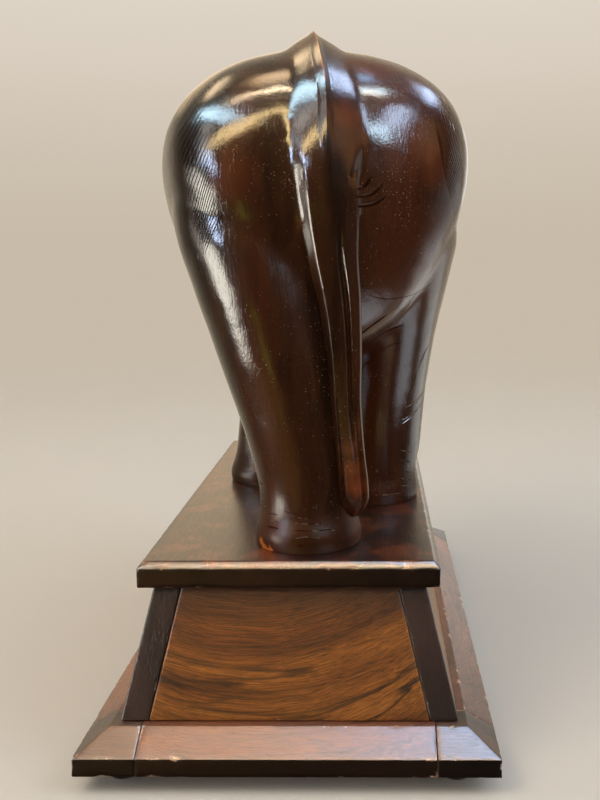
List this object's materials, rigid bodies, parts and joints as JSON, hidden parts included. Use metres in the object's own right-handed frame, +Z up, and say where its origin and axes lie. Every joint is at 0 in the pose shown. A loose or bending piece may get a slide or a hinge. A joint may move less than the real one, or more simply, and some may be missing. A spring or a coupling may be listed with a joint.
{
  "type": "wooden elephant statue",
  "caption": "Carved rosewood elephant in mid-stride with a long hanging tail, on a tapered rosewood plinth with dark corner posts, a sloped base frame and low round feet.",
  "frame": {"origin": "on the floor, under the middle of the plinth, which is also the middle of the whole object's bounding box in plan", "axes": "+Z up; the elephant faces -Y, turned 10 degrees to its left; +X is the elephant's left"},
  "size_m": [0.2444, 0.4244, 0.4498],
  "materials": {
    "carved_rosewood": "glossy dark red-brown lacquer",
    "board_rosewood": "glossy dark reddish-brown varnish",
    "panel_rosewood": "golden brown with dark streaks, satin varnish",
    "rail_rosewood": "pinkish-brown with dark streaks, satin varnish",
    "dark_corner_wood": "near-black brown, satin varnish"
  },
  "bodies": {
    "root": {"elephant": "carved_rosewood", "top_board": "board_rosewood", "panel_rear": "panel_rosewood", "panel_left": "panel_rosewood", "panel_front": "panel_rosewood", "panel_right": "panel_rosewood", "stile_rear_left": "dark_corner_wood", "stile_rear_right": "dark_corner_wood", "stile_front_left": "dark_corner_wood", "stile_front_right": "dark_corner_wood", "base_rail_rear": "rail_rosewood", "base_rail_left": "rail_rosewood", "base_rail_front": "rail_rosewood", "base_rail_right": "rail_rosewood", "corner_block_rear_left": "dark_corner_wood", "corner_block_rear_right": "dark_corner_wood", "corner_block_front_left": "dark_corner_wood", "corner_block_front_right": "dark_corner_wood", "foot_rear_left": "dark_corner_wood", "foot_rear_right": "dark_corner_wood", "foot_front_left": "dark_corner_wood", "foot_front_right": "dark_corner_wood"}
  },
  "joints": []
}
